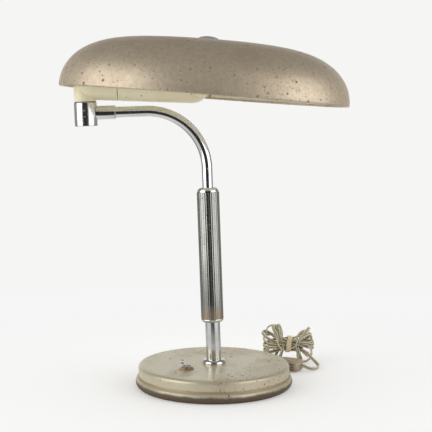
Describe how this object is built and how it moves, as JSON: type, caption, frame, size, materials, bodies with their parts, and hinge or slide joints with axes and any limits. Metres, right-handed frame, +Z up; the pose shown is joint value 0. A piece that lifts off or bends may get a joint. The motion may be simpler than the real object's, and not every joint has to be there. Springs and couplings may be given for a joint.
{
  "type": "desk lamp",
  "caption": "Desk lamp with an oval dome shade on a swinging bent arm, a fluted sleeve that slides and turns on a stem, and a round weighted base with a toggle switch.",
  "frame": {"origin": "centre of the base's underside, on the felt", "axes": "+Z up, +X towards the end of the table where the flex is tied, and away from the shade's swivel, +Y to the back, where the flex leaves the base"},
  "size_m": [0.3425, 0.2697, 0.4186],
  "materials": {
    "base_lacquer": "satin",
    "shade_lacquer": "satin",
    "cast_iron": "matte",
    "chrome": "polished",
    "fluted_chrome": "satin",
    "steel": "satin",
    "brass": "satin",
    "felt": "matte",
    "rubber": "matte",
    "flex": "matte",
    "tie_tape": "matte",
    "plug_brown": "satin",
    "dark_plastic": "satin",
    "cream_plastic": "satin",
    "friction_leather": "matte",
    "porcelain": "gloss",
    "frosted_glass": "satin"
  },
  "bodies": {
    "base": {"base_shell": "base_lacquer", "base_weight": "cast_iron", "base_plate": "steel", "base_felt": "felt", "plate_screws": "steel", "stem_foot": "chrome", "stem_washer": "steel", "stem_nut": "steel", "stem_tube": "chrome", "stem_guide": "brass", "switch_body": "dark_plastic", "switch_bush": "chrome", "switch_nut": "steel", "switch_terminals": "brass", "cord_relief": "rubber", "cord_clamp": "steel", "clamp_screws": "steel", "base_lead": "flex", "cord_run": "flex", "cord_hank": "flex", "cord_tail": "flex", "cord_tie": "tie_tape", "plug_body": "plug_brown", "plug_pins": "brass"},
    "toggle": {"toggle_lever": "chrome"},
    "slider": {"brake_bush": "brass", "brake_liner": "friction_leather"},
    "arm": {"sleeve": "fluted_chrome", "lower_collar": "chrome", "bush_ring": "steel", "upper_collar": "chrome", "sleeve_plug": "brass", "arm_tube": "chrome", "arm_ferrule": "chrome", "swivel_drum": "chrome", "drum_cap": "chrome", "arm_lead": "flex"},
    "neck": {"rear_housing": "cream_plastic", "housing_lid": "cream_plastic", "neck_washer": "dark_plastic", "neck_spindle": "brass", "neck_spring": "steel", "neck_nut": "steel", "neck_lead": "flex"},
    "head": {"front_housing": "cream_plastic", "roll_spindle": "brass", "roll_spring": "steel", "roll_nuts": "steel", "head_lead": "flex", "holder_base": "dark_plastic", "holder_body": "porcelain", "holder_shell": "brass", "bulb_cap": "brass", "bulb_glass": "frosted_glass", "shade_strap": "steel", "strap_screws": "steel", "shade": "shade_lacquer", "shade_cap": "chrome", "shade_nut": "steel"}
  },
  "joints": [
    {"name": "height_slide", "type": "slide", "parent": "base", "child": "slider", "axis": [-0.0349, 0, 0.9994], "range_m": [-0.031, 0.056]},
    {"name": "arm_turn", "type": "hinge", "parent": "slider", "child": "arm", "pos_m": [-0.002, 0, 0.08367], "axis": [-0.0349, 0, 0.9994], "range_deg": [-170, 170]},
    {"name": "shade_swivel", "type": "hinge", "parent": "arm", "child": "neck", "pos_m": [-0.15266, 0, 0.34066], "axis": [-0.0349, 0, 0.9994], "range_deg": [-175, 175]},
    {"name": "shade_roll", "type": "hinge", "parent": "neck", "child": "head", "pos_m": [-0.11497, 0, 0.36507], "axis": [0.9995, 0, -0.0332], "range_deg": [-30, 30]},
    {"name": "switch_toggle", "type": "hinge", "parent": "base", "child": "toggle", "pos_m": [-0.0323, -0.0323, 0.028], "axis": [0, 1, 0], "range_deg": [0, 72]}
  ]
}
